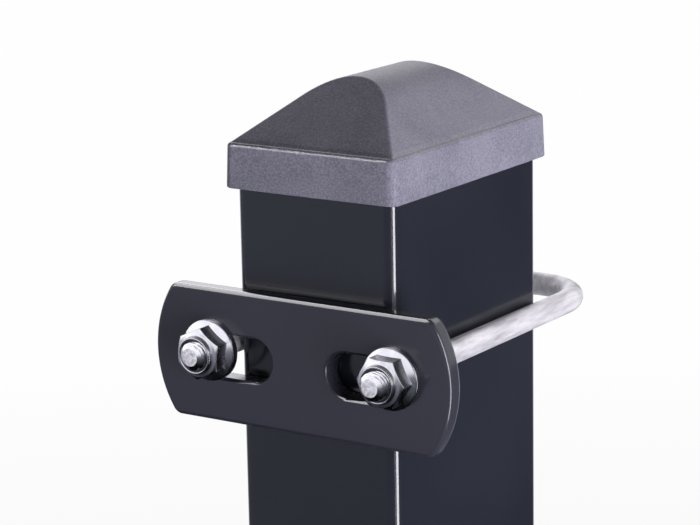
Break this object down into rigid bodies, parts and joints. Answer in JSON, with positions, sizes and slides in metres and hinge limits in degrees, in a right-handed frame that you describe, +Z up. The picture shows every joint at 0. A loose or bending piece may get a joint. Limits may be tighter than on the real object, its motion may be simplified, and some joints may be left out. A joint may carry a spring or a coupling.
{
  "type": "metal fence post",
  "caption": "Fence post of rectangular steel tube with a moulded hipped cap and U-bolt clamps with slotted plates and flange nuts for a mesh panel.",
  "frame": {"origin": "middle of the tube's lower end", "axes": "+Z up along the post, +Y from the clamp plates' face to the back face where the panel goes, +X to the right seen from the front"},
  "size_m": [0.075, 0.0969, 1.0146],
  "materials": {
    "powder_coat": "anthracite powder coat, satin gloss",
    "cap_plastic": "finely grained grey moulding",
    "stainless": "bright stainless steel",
    "nylon": "grey nylon"
  },
  "bodies": {
    "root": {"post_tube": "powder_coat", "post_cap": "cap_plastic", "clamp_plate_1": "powder_coat", "u_bolt_1": "stainless", "flange_nut_left_1": "stainless", "flange_nut_right_1": "stainless", "lock_ring_left_1": "nylon", "lock_ring_right_1": "nylon", "clamp_plate_2": "powder_coat", "u_bolt_2": "stainless", "flange_nut_left_2": "stainless", "flange_nut_right_2": "stainless", "lock_ring_left_2": "nylon", "lock_ring_right_2": "nylon", "clamp_plate_3": "powder_coat", "u_bolt_3": "stainless", "flange_nut_left_3": "stainless", "flange_nut_right_3": "stainless", "lock_ring_left_3": "nylon", "lock_ring_right_3": "nylon"}
  },
  "joints": []
}
